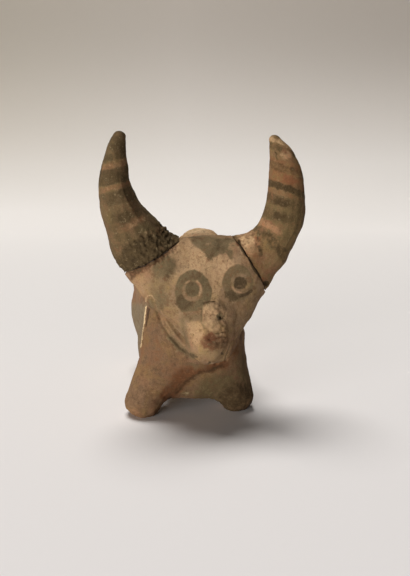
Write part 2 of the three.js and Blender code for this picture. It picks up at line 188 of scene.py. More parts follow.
def grown_skin(name, nodes, drawn_in, dents):
    """One smooth skin over some CAD nodes, drawn in again and dented by soft noises."""
    piece = merged_copy(name, nodes)
    modify(piece, "DISPLACE", strength=CLOSING, mid_level=0)
    modify(piece, "REMESH", mode="VOXEL", voxel_size=VOXEL)
    apply_modifiers(piece)
    relax(piece, RELAX_ROUNDS)
    modify(piece, "DISPLACE", strength=-drawn_in, mid_level=0)
    for size, height in dents:
        noises = bpy.data.textures.new("dents", "CLOUDS")
        noises.noise_scale = size * MM
        noises.noise_depth = 1
        modify(piece, "DISPLACE", texture=noises, texture_coords="LOCAL", strength=height * MM)
    apply_modifiers(piece)
    return piece


skin = grown_skin("skin", SKIN_NODES, CLOSING, BODY_DENTS)


# Hand work on the skin: grooves, ridges, pits and rough scars, each placed by its pixels in the
# photograph, on the side that faces the camera.
def soft_step(values):
    """0 below 0, 1 above 1, and a smooth slope between."""
    values = np.clip(values, 0, 1)
    return values * values * (3 - 2 * values)


def oval(x, y, width, height, turn=0, soft=2):
    """A mask: 1 inside an oval of pixels, and 0 outside it.

    Every mask is asked with the pixels at which the points of a mesh show, and with their places.
    """
    angle = math.radians(turn)

    def mask(px, py, points):
        u = (px - x) * math.cos(angle) + (py - y) * math.sin(angle)
        v = (py - y) * math.cos(angle) - (px - x) * math.sin(angle)
        radius = np.sqrt((2 * u / width) ** 2 + (2 * v / height) ** 2)
        return soft_step(0.5 - (radius - 1) * min(width, height) / 2 / soft)

    return mask


def distance_to(path, places):
    """How far each place is from a line through some others, in the photograph or in space."""
    nearest = np.full(len(places), np.inf)
    path = np.array(path, dtype=float)
    for start, end in zip(path[:-1], path[1:]):
        along = end - start
        share = np.clip((places - start) @ along / (along @ along), 0, 1)
        gaps = np.linalg.norm(places - start - share[:, None] * along, axis=1)
        nearest = np.minimum(nearest, gaps)
    return nearest


def line(path, width, soft=1.5):
    """A mask: 1 on a line through pixels, and 0 away from it."""

    def mask(px, py, points):
        away = distance_to(path, np.column_stack((px, py)))
        return soft_step(0.5 - (away - width / 2) / soft)

    return mask


def thread(path, width, soft):
    """A mask: 1 on a line through places in space, and 0 away from it, in mm."""

    def mask(px, py, points):
        away = distance_to(path, points) / MM
        return soft_step(0.5 - (away - width / 2) / soft)

    return mask


def patch(points_round, soft=2):
    """A mask: 1 inside an outline through pixels, and 0 outside it."""
    outline = points_round + points_round[:1]

    def mask(px, py, points):
        inside = np.zeros(len(px), dtype=bool)
        for (ax, ay), (bx, by) in zip(outline[:-1], outline[1:]):
            spans = (ay > py) != (by > py)
            beyond = (bx - ax) * (py - ay) * math.copysign(1, by - ay)
            inside ^= spans & ((px - ax) * abs(by - ay) < beyond)
        away = distance_to(outline, np.column_stack((px, py)))
        return soft_step(0.5 + np.where(inside, away, -away) / soft)

    return mask


def grain(points, size, seed=0.0):
    """Noise from -1 to 1 at some points."""
    places = points / size + seed
    return np.array([noise.noise(Vector(place)) for place in places])


def turned_to_camera(points, normals):
    """How far a surface faces the camera at each point, from -1 to 1."""
    towards = np.array(eye_point) - points
    towards /= np.linalg.norm(towards, axis=1)[:, None]
    return (normals * towards).sum(axis=1)


JAW_GROOVE = [(153, 300), (157, 313), (163, 326), (171, 338), (180, 348), (193, 356), (200, 360)]
JAW_GROOVE_RIGHT = [(249, 319), (241, 331), (233, 341), (229, 352), (226, 360)]
CHEST_RIDGE = [(146.3, 297), (145, 308), (143.8, 322), (141.5, 340), (140, 349)]
RIDGE_TOP = [(146.2, 298), (145.9, 308)]
RIDGE_HOOK = [(146.3, 298), (148.5, 295.8), (151.5, 296), (154.7, 302)]
BESIDE_RIDGE = [(147.5, 307), (150, 309), (149, 317), (146.5, 327), (145.3, 327)]
RIGHT_BREAK = [(124, 271), (134, 270), (145, 264), (158, 257), (170, 248)]
NOSE_STEP = [(204, 303), (209, 301.5), (215, 301.5)]
# Each is a mask and how far it moves the clay out of the surface, in mm.
STROKES = [
    (oval(206, 340, 38, 46, 10, 8), 1.2),
    (oval(214, 318, 26, 32, -6, 8), 0.6),
    (oval(227, 320, 14, 28, 0, 8), 0.6),
    (oval(175, 322, 18, 34, -35, 10), -0.6),
    (line(JAW_GROOVE, 1.6, 3), -0.55),
    (line([(x + 4.5, y - 3) for x, y in JAW_GROOVE], 2.5, 4), 0.4),
    (line(JAW_GROOVE_RIGHT, 1.5, 3), -0.6),
    (line(NOSE_STEP, 1.4, 1.5), -0.6),
    (oval(210, 337, 5.5, 7, 0, 3), -0.5),
    (line([(215, 333.5), (223, 332)], 1.2, 1.5), -0.4),
    (line([(215, 338), (223, 336.5)], 1.2, 1.5), -0.4),
    (line([(216, 342.5), (223, 341)], 1.2, 1.5), -0.4),
    (oval(196, 357, 5, 2, 25, 2), -0.5),
    (oval(210, 362, 2.5, 2, 0, 1.5), -0.4),
    (oval(216, 364, 2.5, 2, 0, 1.5), -0.4),
    (oval(193.5, 290, 35, 40, 0, 4), 0.12),
    (oval(238, 283, 33, 37, 0, 4), 0.12),
    (oval(266, 283, 5, 5, 0, 2.5), -0.9),
    (oval(125, 270, 4, 4, 0, 2), -0.7),
    (line([(188, 238), (203, 240), (222, 238)], 1.4, 3), 0.25),
    (line(RIGHT_BREAK, 1.6, 2.5), -0.6),
]
# Rough places: a mask, the height of the grain and its size, in mm.
ROUGH = [
    (oval(214, 320, 24, 38, 0, 6), 0.45, 1.1),
    (oval(212, 345, 22, 16, 0, 6), 0.25, 1.1),
    (oval(146, 251, 60, 36, -32, 8), 0.6, 1.2),
    (oval(166, 228, 18, 16, 30, 6), 0.8, 1.3),
    (oval(176, 240, 14, 28, 20, 6), 0.35, 1.2),
    (oval(257, 240, 12, 28, -10, 6), 0.3, 1.0),
    (oval(205, 265, 90, 70, 0, 20), 0.1, 1.2),
]
# Pinches that go right round a horn: a mask and which way the fingers drew the clay, in mm.
HORN_PINCHES = [
    (oval(291, 162, 20, 44, -22, 12), (1.5, 0, 0.2)),
    (oval(297, 246, 16, 30, 25, 12), (-1.2, 0, 0)),
    (oval(138, 194, 20, 44, -28, 12), (-1.6, 0, 0)),
    (oval(119, 258, 16, 34, -28, 12), (-1.5, 0, 0)),
    (oval(130, 280, 14, 14, -28, 8), (-1.4, 0, 0.3)),
]

# Hand work fades where the skin turns from the camera, and ends this far back, in mm.
WORK_FADE = 4
WORK_START = 0.6
WORK_BACK = -4
WORK_LEAST = 0.01
# Each rough place has a finer grain in its grain.
FINE_SHARE = 0.6
FINER = 2.3
FINE_SEED = 7

points = points_of(skin.data)
normals = normals_of(skin.data)
px, py = seen(points)
facing = soft_step(turned_to_camera(points, normals) * WORK_FADE + WORK_START)
facing *= points[:, 1] < WORK_BACK * MM
lift = np.zeros(len(points))
for mask, height in STROKES:
    lift += mask(px, py, points) * facing * height * MM
for mask, height, size in ROUGH:
    weight = mask(px, py, points) * facing
    where = weight > WORK_LEAST
    rough = grain(points[where], size * MM)
    rough += FINE_SHARE * grain(points[where], size * MM / FINER, FINE_SEED)
    lift[where] += weight[where] * rough * height * MM
# The edge of the chest is pinched up into a thin ridge that ends in a hook, in mm. Its places on
# the skin are found along its pixels.
RIDGE_RISE = (-0.6, -0.6, 0)
RIDGE_WIDTH = 0.4
RIDGE_SOFT = 0.7
HOOK_WIDTH = 0.3
HOOK_SHARE = 0.6
PIXELS_ALONG = 2
PIXELS_ROUND = 1.2


def places_at(path):
    """The places on the skin, nearest to the camera, that show along a path of pixels."""
    found = []
    for (ax, ay), (bx, by) in zip(path[:-1], path[1:]):
        for share in np.arange(0, 1, PIXELS_ALONG / math.hypot(bx - ax, by - ay)):
            away = np.hypot(px - ax - (bx - ax) * share, py - ay - (by - ay) * share)
            close = points[away < PIXELS_ROUND]
            depths = np.linalg.norm(close - np.array(eye_point), axis=1)
            found.append(close[np.argmin(depths)])
    found = np.array(found)
    found[1:-1] = (found[:-2] + 2 * found[1:-1] + found[2:]) / 4
    return found


ridge, ridge_hook = (places_at(path) for path in (CHEST_RIDGE, RIDGE_HOOK))
ridge_weight = thread(ridge, RIDGE_WIDTH, RIDGE_SOFT)(px, py, points)
hook_weight = HOOK_SHARE * thread(ridge_hook, HOOK_WIDTH, RIDGE_SOFT)(px, py, points)
ridge_weight = np.maximum(ridge_weight, hook_weight)
points += normals * lift[:, None]
points += ridge_weight[:, None] * np.array(RIDGE_RISE) * MM
for mask, pull in HORN_PINCHES:
    points += mask(px, py, points)[:, None] * np.array(pull) * MM
points[:, 2] = np.maximum(points[:, 2], 0)
move_points(skin.data, points)
px, py = seen(points)
ridge, ridge_hook = (places_at(path) for path in (CHEST_RIDGE, RIDGE_HOOK))
whole = bmesh.new()
whole.from_mesh(skin.data)
bpy.data.objects.remove(skin)


# The marks.
# Worn paint, bare pale clay, reddish clay and olive dirt are four masks that every piece carries at
# its points. They are laid one over the other, like washes, from listed strokes.
# The dark and olive masks also carry painted shade, and the pale mask painted light, where a stroke
# stands for them.
DARK, PALE, RED, OLIVE = range(4)
# The size of each tremble of the hand in mm, and how far it shifts a stroke, in pixels.
UNSTEADY = ((1.7, 1.6), (0.6, 0.7))
ACROSS_SEED = 3
DOWN_SEED = 11
# Marks on the front fade where a piece turns from the camera.
MARK_FADE = 5
MARK_START = 0.8


def band(top, bottom, pivot=0, rise=0, soft=3):
    """A mask: 1 on a slanted band across the photograph, between two heights at its pivot."""

    def mask(px, py, points):
        level = py + rise * (px - pivot)
        return soft_step((level - top) / soft + 0.5) * soft_step((bottom - level) / soft + 0.5)

    return mask


def lay_marks(piece, front_marks, all_round_marks=(), steady_marks=()):
    """Gives a piece its four masks. Front marks and steady ones keep to the side that is seen."""
    mesh = piece.data
    points = points_of(mesh)
    front = soft_step(turned_to_camera(points, normals_of(mesh)) * MARK_FADE + MARK_START)
    px, py = seen(points)
    drawn_x, drawn_y = px, py
    for size, shift in UNSTEADY:
        drawn_x = drawn_x + shift * grain(points, size * MM, ACROSS_SEED)
        drawn_y = drawn_y + shift * grain(points, size * MM, DOWN_SEED)
    masks = np.zeros((len(points), 4))
    for marks, x, y, where in (
        (all_round_marks, drawn_x, drawn_y, 1),
        (front_marks, drawn_x, drawn_y, front),
        (steady_marks, px, py, front),
    ):
        for layer, amount, mask in marks:
            masks[:, layer] += (amount - masks[:, layer]) * mask(x, y, points) * where
    layer = mesh.attributes.new("marks", "FLOAT_COLOR", "POINT")
    layer.data.foreach_set("color", masks.ravel())


# The clay and its finishes.
# Low-fired clay is matt and gritty, with grains of temper, pinholes and finger-smears. The paint on
# it was a thin dark wash of iron earth, now rubbed through on every high place.
IOR_CLAY = 1.45
SHEEN = 0.15
# The sizes of the grit, of the flakes of the paint, of the finger-smears, and of the clouds that
# the fire left.
FINE_NOISE = {"Detail": 4, "Roughness": 0.65}
GRIT = 0.35 * MM
FLAKE = 1.1 * MM
SMEAR = 2.4 * MM
CLOUD = 7 * MM
# Between which values of its noise each thing comes in, and how far.
SHADE = {"From Min": 0.4, "From Max": 0.66, "To Max": 0.6}
STAIN = {"From Min": 0.46, "From Max": 0.62, "To Max": 0.65}
# Flecks vary the clay at random with its grain. As they follow the relief, they are also painted
# shade in its dips and painted light on its tops.
FLECK_AND_SHADE = {"From Min": 1.26, "From Max": 1.74, "To Min": 0.76, "To Max": 1.24}
SPECK = {"From Min": 0.58, "From Max": 0.7}
# Pinholes are painted dark where the relief dips lowest, as the shade in them.
PINHOLE_SHADE = {"From Min": 0.4, "From Max": 0.32, "To Max": 0.4}
ROUGHNESS = {"From Min": 0.3, "From Max": 0.7, "To Min": 0.84, "To Max": 0.98}
SPECK_TINT = "#9c8765"
# The colour of the painted shade in the pinholes.
PINHOLE_SHADE_TINT = "#4f3d29"
# How steeply a wash comes in where its mask begins.
WASH_ONSET = 6.0
# How high the flakes stand beside the grit, and how much of the relief there is.
FLAKE_RELIEF = 1.2
RELIEF_STRENGTH = 0.6
RELIEF_DEPTH = 0.16 * MM
# How each wash wears: how strongly the flakes tear it, and between which amounts it fades in.
WEAR = {
    "olive": (1.8, 0.1, 0.9),
    "pale": (1.8, 0.1, 0.9),
    "red": (1.8, 0.15, 0.85),
    "dark": (1.5, 0.22, 0.8),
}
MIX = "ShaderNodeMixRGB"
RANGE = "ShaderNodeMapRange"
MATH = "ShaderNodeMath"


def linear(code):
    """The linear colour of an sRGB hex value."""
    channels = [int(code[n : n + 2], 16) / 255 for n in (1, 3, 5)]
    return [c / 12.92 if c <= 0.04045 else ((c + 0.055) / 1.055) ** 2.4 for c in channels] + [1]


def add(tree, kind, inputs=None, **settings):
    """Adds a node with its settings, and links or sets its inputs.

    A node that is given as an input stands for its first output.
    """
    node = tree.nodes.new(kind)
    for key, value in settings.items():
        setattr(node, key, value)
    for key, value in (inputs or {}).items():
        if isinstance(value, bpy.types.Node):
            value = value.outputs[0]
        if isinstance(value, bpy.types.NodeSocket):
            tree.links.new(value, node.inputs[key])
        else:
            node.inputs[key].default_value = value
    return node


def new_material(name):
    """An empty material, its tree, and the place on the object that its patterns follow."""
    material = bpy.data.materials.new(name)
    material.use_nodes = True
    tree = material.node_tree
    tree.nodes.clear()
    return material, tree, add(tree, "ShaderNodeTexCoord").outputs["Object"]


def fired_clay(name, clay, shade, stains, washes, speckled, face=None):
    """Matt fired clay with two stains in it and worn washes over it, all as sRGB hex values.

    The four colours of a face take the place of the clay, its shade and its stains by the tone.
    """
    material, tree, place = new_material(name)
    marks = add(tree, "ShaderNodeAttribute", attribute_name="marks")
    parted = add(tree, "ShaderNodeSeparateColor", {"Color": marks})
    amounts = {
        "dark": parted.outputs["Red"],
        "pale": parted.outputs["Green"],
        "red": parted.outputs["Blue"],
        "olive": marks.outputs["Alpha"],
    }
    grit, flake, smear, cloud = (
        add(tree, "ShaderNodeTexNoise", {"Vector": place, "Scale": 1 / size, **FINE_NOISE})
        for size in (GRIT, FLAKE, SMEAR, CLOUD)
    )
    patchy = add(tree, RANGE, {"Value": cloud, **SHADE})
    tints = [linear(code) for code in (clay, shade, *stains)]
    if face:
        tone = add(tree, "ShaderNodeAttribute", attribute_name="tone").outputs["Fac"]
        tints = [
            add(tree, MIX, {"Fac": tone, "Color1": tint, "Color2": linear(code)})
            for tint, code in zip(tints, face)
        ]
    colour = add(tree, MIX, {"Fac": patchy, "Color1": tints[0], "Color2": tints[1]})
    clouds = add(tree, "ShaderNodeSeparateColor", {"Color": cloud.outputs["Color"]})
    for channel, stain in zip(("Green", "Blue"), tints[2:]):
        soaked = add(tree, RANGE, {"Value": clouds.outputs[channel], **STAIN})
        colour = add(tree, MIX, {"Fac": soaked, "Color1": colour, "Color2": stain})
    torn = add(tree, MATH, {0: flake, 1: smear}, operation="ADD")
    for wash, tint in washes.items():
        tearing, fades_from, fades_to = WEAR[wash]
        edge = add(tree, MATH, {0: torn, 1: tearing, 2: -tearing}, operation="MULTIPLY_ADD")
        worn = add(tree, MATH, {0: amounts[wash], 1: edge}, operation="ADD")
        kept = add(tree, RANGE, {"Value": worn, "From Min": fades_from, "From Max": fades_to})
        onset = {0: amounts[wash], 1: WASH_ONSET}
        present = add(tree, MATH, onset, operation="MULTIPLY", use_clamp=True)
        amount = add(tree, MATH, {0: kept, 1: present}, operation="MULTIPLY")
        colour = add(tree, MIX, {"Fac": amount, "Color1": colour, "Color2": linear(tint)})
    # The flecks darken the dips of the relief and lighten its tops, partly as painted shade and
    # light.
    uneven_tone = add(tree, MATH, {0: torn, 1: grit}, operation="ADD")
    fleck_and_shade = add(tree, RANGE, {"Value": uneven_tone, **FLECK_AND_SHADE})
    both = {"Fac": 1.0, "Color1": colour, "Color2": fleck_and_shade}
    flecked_and_shaded = add(tree, MIX, both, blend_type="MULTIPLY")
    speck = add(tree, RANGE, {"Value": flake, "To Max": speckled, **SPECK})
    specked = add(tree, MIX, {"Fac": speck, "Color1": flecked_and_shaded, "Color2": linear(SPECK_TINT)})
    # Painted shade in the pinholes.
    pinhole_shade = add(tree, RANGE, {"Value": flake, **PINHOLE_SHADE})
    holed = add(tree, MIX, {"Fac": pinhole_shade, "Color1": specked, "Color2": linear(PINHOLE_SHADE_TINT)})
    rough = add(tree, RANGE, {"Value": smear, **ROUGHNESS})
    relief = add(tree, MATH, {0: flake, 1: FLAKE_RELIEF, 2: grit}, operation="MULTIPLY_ADD")
    bump = add(
        tree,
        "ShaderNodeBump",
        {"Height": relief, "Strength": RELIEF_STRENGTH, "Distance": RELIEF_DEPTH},
    )
    shader = add(
        tree,
        "ShaderNodeBsdfPrincipled",
        {
            "Base Color": holed,
            "Roughness": rough,
            "Normal": bump,
            "IOR": IOR_CLAY,
            "Specular IOR Level": SHEEN,
        },
    )
    add(tree, "ShaderNodeOutputMaterial", {"Surface": shader})
    return material


# The lumps are cut from the skin where one meets the next, and closed across the cut.
def half_of(bm, point, normal):
    """The part of a closed mesh behind a plane, closed again. The mesh itself is left as it was."""
    part = bm.copy()
    everything = part.verts[:] + part.edges[:] + part.faces[:]
    cut = bmesh.ops.bisect_plane(
        part, geom=everything, plane_co=point, plane_no=normal, clear_outer=True, dist=SAME_PLACE
    )
    rim = [item for item in cut["geom_cut"] if isinstance(item, bmesh.types.BMEdge)]
    bmesh.ops.holes_fill(part, edges=rim, sides=0)
    return part


def split_at(bm, point, normal):
    """The parts of a closed mesh behind and in front of a plane."""
    parts = half_of(bm, point, normal), half_of(bm, point, -normal)
    bm.free()
    return parts


def surface(piece, material):
    """Gives a piece its material, and shades it smooth."""
    for polygon in piece.data.polygons:
        polygon.use_smooth = True
    piece.data.materials.append(material)


def add_piece(name, bm, node, material):
    """Puts a lump in the scene in place of its CAD node."""
    piece = object_of(name, bm)
    surface(piece, material)
    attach(piece, "root")
    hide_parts(node)
    return piece


# The breaks and the glue in them.
# Both horns broke off at the root and are glued back. A break runs where the torn grain of the clay
# let go, so it wanders, and the two sides stand a hair apart with old brown glue deep between them.
CRACK_WIDTH = 0.5 * MM
GLUE_THICKNESS = 0.36 * MM
GLUE_DEPTH = 0.1
TEAR = 0.45 * MM
TEAR_REACH = 14 * MM
# The size of each grain of the tear, in mm, and its share.
TEAR_GRAINS = ((3.2, 1.0), (1.1, 0.5))
GLUE_DARK = "#241811"
GLUE_LIGHT = "#4a3524"
GLUE_ROUGHNESS = 0.7
GLUE_RELIEF = 0.1 * MM
# The middle of each break, and which way its horn goes on, in degrees up from the viewer's right.
LEFT_ROOT = spot(16.6, -30.5, 53.8)
LEFT_TURN = 31
RIGHT_ROOT = spot(-15.5, -30.5, 57)
RIGHT_TURN = 122


def dried_glue():
    """Dull brown dried animal glue with a fine grain."""
    material, tree, place = new_material("dried_animal_glue")
    lumps = add(tree, "ShaderNodeTexNoise", {"Vector": place, "Scale": 1 / GRIT, "Detail": 3})
    dark_and_light = {"Color1": linear(GLUE_DARK), "Color2": linear(GLUE_LIGHT)}
    colour = add(tree, MIX, {"Fac": lumps, **dark_and_light})
    bump = add(tree, "ShaderNodeBump", {"Height": lumps, "Distance": GLUE_RELIEF})
    shader = add(
        tree,
        "ShaderNodeBsdfPrincipled",
        {"Base Color": colour, "Roughness": GLUE_ROUGHNESS, "Normal": bump},
    )
    add(tree, "ShaderNodeOutputMaterial", {"Surface": shader})
    return material


def tear(bm, root, outwards, amount):
    """Shifts a mesh along a break by a noise that varies across it, so a plane cuts it raggedly."""
    for vertex in bm.verts:
        across = vertex.co - root
        across -= outwards * across.dot(outwards)
        if across.length < TEAR_REACH:
            drift = sum(share * noise.noise(across / (size * MM)) for size, share in TEAR_GRAINS)
            vertex.co += outwards * drift * TEAR * amount


def break_off(body, side, root, angle):
    """Breaks a horn off the body, and adds the glue. Gives the rest of the body and the horn."""
    outwards = Vector((math.cos(math.radians(angle)), 0, math.sin(math.radians(angle))))
    tear(body, root, outwards, 1)
    horn = half_of(body, root + outwards * CRACK_WIDTH / 2, -outwards)
    rest = half_of(body, root - outwards * CRACK_WIDTH / 2, outwards)
    inner = half_of(body, root + outwards * GLUE_THICKNESS / 2, outwards)
    film = half_of(inner, root - outwards * GLUE_THICKNESS / 2, -outwards)
    for vertex in film.verts:
        across = vertex.co - root
        across -= outwards * across.dot(outwards)
        vertex.co -= across * GLUE_DEPTH
    for part in (horn, rest, film):
        tear(part, root, outwards, -1)
    body.free()
    inner.free()
    add_piece(f"glue_in_{side}_break", film, f"horn_{side}_glue", glue)
    return rest, horn


glue = dried_glue()
whole, left_horn = break_off(whole, "left", LEFT_ROOT, LEFT_TURN)
whole, right_horn = break_off(whole, "right", RIGHT_ROOT, RIGHT_TURN)

# The horns.
# Tapering rolls of the same clay, painted with dark bands that run round them and slope towards the
# head. The bull's right horn keeps more paint, and a dark crust at its root.
RIGHT_BANDS = {"pivot": 115, "rise": 0.26}
LEFT_BANDS = {"pivot": 285, "rise": -0.35}
RIGHT_HORN_MARKS = [
    (OLIVE, 0.5, band(0, PHOTO_HEIGHT, **RIGHT_BANDS)),
    (DARK, 0.65, band(0, 160, soft=4, **RIGHT_BANDS)),
    (DARK, 0.1, band(161, 167, **RIGHT_BANDS)),
    (OLIVE, 0.0, band(161, 167, **RIGHT_BANDS)),
    (RED, 0.3, band(161, 167, **RIGHT_BANDS)),
    (DARK, 0.7, band(167.5, 184, **RIGHT_BANDS)),
    (DARK, 0.1, band(184.5, 190, **RIGHT_BANDS)),
    (OLIVE, 0.1, band(184.5, 190, **RIGHT_BANDS)),
    (RED, 0.5, band(184.5, 190, **RIGHT_BANDS)),
    (DARK, 0.65, band(191, 206, soft=4, **RIGHT_BANDS)),
    (DARK, 0.3, band(206, 213, soft=5, **RIGHT_BANDS)),
    (DARK, 0.6, band(213, 224, soft=6, **RIGHT_BANDS)),
    (DARK, 0.5, band(224, 400, soft=6, **RIGHT_BANDS)),
]
LEFT_HORN_MARKS = [
    (OLIVE, 0.5, band(0, PHOTO_HEIGHT, **LEFT_BANDS)),
    (DARK, 0.15, band(100, 300, **LEFT_BANDS)),
    (DARK, 0.55, band(100, 140, **LEFT_BANDS)),
    (PALE, 0.7, band(141, 146.5, soft=2, **LEFT_BANDS)),
    (DARK, 0.55, band(147.5, 153, **LEFT_BANDS)),
    (DARK, 0.5, band(165, 174, soft=4, **LEFT_BANDS)),
    (RED, 0.45, band(160, 186, soft=4, **LEFT_BANDS)),
    (DARK, 0.85, band(184.5, 191.5, soft=2.5, **LEFT_BANDS)),
    (RED, 0.35, band(192, 196, soft=2.5, **LEFT_BANDS)),
    (DARK, 0.1, band(192, 196, soft=2.5, **LEFT_BANDS)),
    (DARK, 0.6, band(197, 207, soft=4, **LEFT_BANDS)),
    (DARK, 0.5, band(213, 224, soft=4, **LEFT_BANDS)),
    (OLIVE, 0.8, band(207, 226, soft=5, **LEFT_BANDS)),
]
RED_STRIPE = [(121, 231), (130, 226), (142, 219)]
RIGHT_HORN_FRONT = [
    (DARK, 0.35, oval(109, 152, 8, 14, -30, 5)),
    (OLIVE, 0.9, oval(108, 158, 8, 10, -20, 4)),
    (DARK, 0.8, oval(120, 146, 7, 18, -20, 5)),
    (DARK, 0.9, line([(103, 155), (101, 164), (99.5, 176)], 3, 3)),
    (RED, 0.4, oval(106, 168, 10, 5, -20, 4)),
    (RED, 0.3, oval(131, 201, 10, 8, 0, 5)),
    (DARK, 0.2, oval(104, 213, 8, 30, -12, 6)),
    (DARK, 0.85, oval(124, 218, 12, 11, 0, 5)),
    (DARK, 0.1, line(RED_STRIPE, 5, 5)),
    (RED, 0.8, line(RED_STRIPE, 5, 6)),
    (PALE, 0.5, line([(130, 227), (139, 221)], 3, 4)),
    (RED, 0.4, oval(126, 224, 26, 18, -20, 8)),
    (DARK, 0.15, oval(150, 231, 22, 12, 20, 6)),
    (OLIVE, 0.9, oval(148, 232, 26, 14, 20, 8)),
    (RED, 0.5, oval(160, 230, 8, 10, 0, 4)),
    (DARK, 1.1, oval(140, 252, 54, 24, -30, 8)),
    (RED, 0.35, oval(146, 246, 44, 24, -30, 10)),
    (DARK, 0.3, oval(116, 244, 6, 30, -22, 5)),
    # Painted shadow: a thick dark line along the break, at the foot of the crust.
    (DARK, 1.3, line(RIGHT_BREAK, 5, 4)),
    (PALE, 0.35, oval(140, 248, 46, 22, -30, 8)),
    (DARK, 0.95, oval(169, 236, 9, 20, 0, 5)),
]
PALE_STRIPE = [(260, 221), (269, 225), (279, 232)]
WORN_BAND = oval(290, 180, 15, 7, 14, 3)
WORN_ROOT = oval(249, 243, 21, 28, -20, 5)
LEFT_HORN_FRONT = [
    (DARK, 0.3, oval(273, 137, 8, 8, 0, 4)),
    (DARK, 0.0, oval(286, 155, 11, 10, 0, 4)),
    (PALE, 0.6, oval(286, 155, 11, 9, 0, 4)),
    (RED, 0.35, oval(287, 156, 10, 10, 0, 5)),
    (DARK, 0.8, line([(275, 152), (277.5, 158)], 2, 2)),
    (OLIVE, 0.8, oval(275, 160, 9, 8, 0, 4)),
    (DARK, 0.2, WORN_BAND),
    (OLIVE, 0.0, WORN_BAND),
    (RED, 0.9, oval(290, 180, 15, 7, 14, 4)),
    (DARK, 0.9, oval(278, 216, 8, 7, 0, 3)),
    (DARK, 1.0, oval(281, 203, 12, 7, 15, 4)),
    (DARK, 0.0, line(PALE_STRIPE, 6, 3)),
    (OLIVE, 0.0, line(PALE_STRIPE, 6, 3)),
    (PALE, 0.6, line(PALE_STRIPE, 5, 3)),
    (RED, 0.5, line(PALE_STRIPE, 6, 3)),
    (DARK, 0.6, line([(258, 230), (268, 237), (277, 247), (287, 258)], 10, 5)),
    # The outer side of the horn, turned from the light, is painted dark olive as shade.
    (OLIVE, 0.8, oval(293, 220, 24, 76, 12, 12)),
    (DARK, 0.35, oval(298, 222, 16, 70, 12, 10)),
    (DARK, 0.0, WORN_ROOT),
    (OLIVE, 0.0, WORN_ROOT),
    (PALE, 0.7, oval(247, 240, 15, 24, -20, 7)),
    (RED, 0.25, oval(254, 256, 20, 24, -20, 8)),
    (OLIVE, 0.25, oval(264, 264, 20, 26, -30, 8)),
    (DARK, 0.1, oval(262, 264, 20, 28, -30, 8)),
    (RED, 0.9, line([(256, 238), (259, 239)], 3.5, 2)),
    (DARK, 0.8, line([(257.5, 238), (258.5, 241)], 2.5, 2)),
    (DARK, 0.75, line([(259, 247), (261, 255)], 4, 2.5)),
]
# The crack at the left horn is painted dark along its length as the shade in it. It has reddish
# spots at both ends, and ends in a chip painted dark.
CRACK_MARKS = [
    (DARK, 1.2, line([(239, 241), (242, 250), (249, 258), (253, 268), (260, 277)], 2.2, 2)),
    (RED, 0.8, oval(239, 243, 5, 6, 0, 2.5)),
    (DARK, 0.9, oval(240, 243, 3.5, 4, 0, 2)),
    (RED, 0.7, oval(263, 279, 9, 5, 20, 3)),
    (DARK, 1.0, oval(266, 283, 5, 5, 0, 2)),
]
right_horn_clay = fired_clay(
    "right_horn_painted_clay",
    "#745c40",
    "#665137",
    ("#6a5834", "#705038"),
    {"olive": "#564830", "pale": "#947554", "red": "#76543a", "dark": "#463824"},
    speckled=0.45,
)
left_horn_clay = fired_clay(
    "left_horn_painted_clay",
    "#866848",
    "#74583d",
    ("#86693f", "#82583f"),
    {"olive": "#625134", "pale": "#ab8b66", "red": "#794e33", "dark": "#453622"},
    speckled=0.3,
)
piece = add_piece("right_horn", right_horn, "horn_right", right_horn_clay)
lay_marks(piece, RIGHT_HORN_FRONT, RIGHT_HORN_MARKS)
piece = add_piece("left_horn", left_horn, "horn_left", left_horn_clay)
lay_marks(piece, LEFT_HORN_FRONT + CRACK_MARKS, LEFT_HORN_MARKS)

# The head.
# Brow, cheeks and muzzle are pressed from one lump, with a rubbed pale face. Rings are painted
# round each eye, and a patch on the forehead, and clay has broken away down the nose.
NECK_CUT = spot(1.5, -24.7, 42)
NECK_FORWARD = Vector((0, -0.94, 0.34)).normalized()
FACE_OUTLINE = patch(
    [(110, 200), (300, 200), (280, 285), (258, 304), (248, 320), (241, 332), (233, 342)]
    + [(228, 352), (224, 361), (214, 365), (200, 361), (190, 355), (180, 348), (170, 337)]
    + [(162, 325), (156, 313), (152, 299), (130, 296), (110, 280)],
    soft=4,
)
# Each eye is a ring, a ball and a pupil with a glint beside it.
LEFT_EYE = patch(
    [(176, 284), (180, 276), (187, 271), (194, 269.5), (202, 273), (208, 280), (212, 289)]
    + [(211, 299), (207, 308), (196, 311), (182, 312), (177, 303), (175, 293)]
)
LEFT_BALL = oval(192.5, 291, 21.5, 21.5, 0, 2.5)
LEFT_PUPIL = oval(192.3, 289.3, 14, 15, 0, 2.5)
LEFT_GLINT = line([(197, 281), (200.3, 285), (201, 290), (199, 295)], 2, 1.5)
RIGHT_EYE = patch(
    [(221.5, 284), (224, 274), (230, 267), (238, 264), (245, 266.5), (250, 272), (253.5, 280)]
    + [(253, 288), (250, 294), (244, 300), (237, 302), (230, 299), (225, 293)]
)
RIGHT_BALL = oval(240.3, 283.2, 19.5, 20, 0, 2.5)
RIGHT_PUPIL = oval(240.5, 283, 14, 13.5, 0, 2.5)
RIGHT_GLINT = line([(232.5, 287), (235.5, 291.5), (241, 292.5)], 1.6, 1.5)
RIGHT_LID = line([(240, 296), (246, 294.5), (251, 291)], 3, 2)
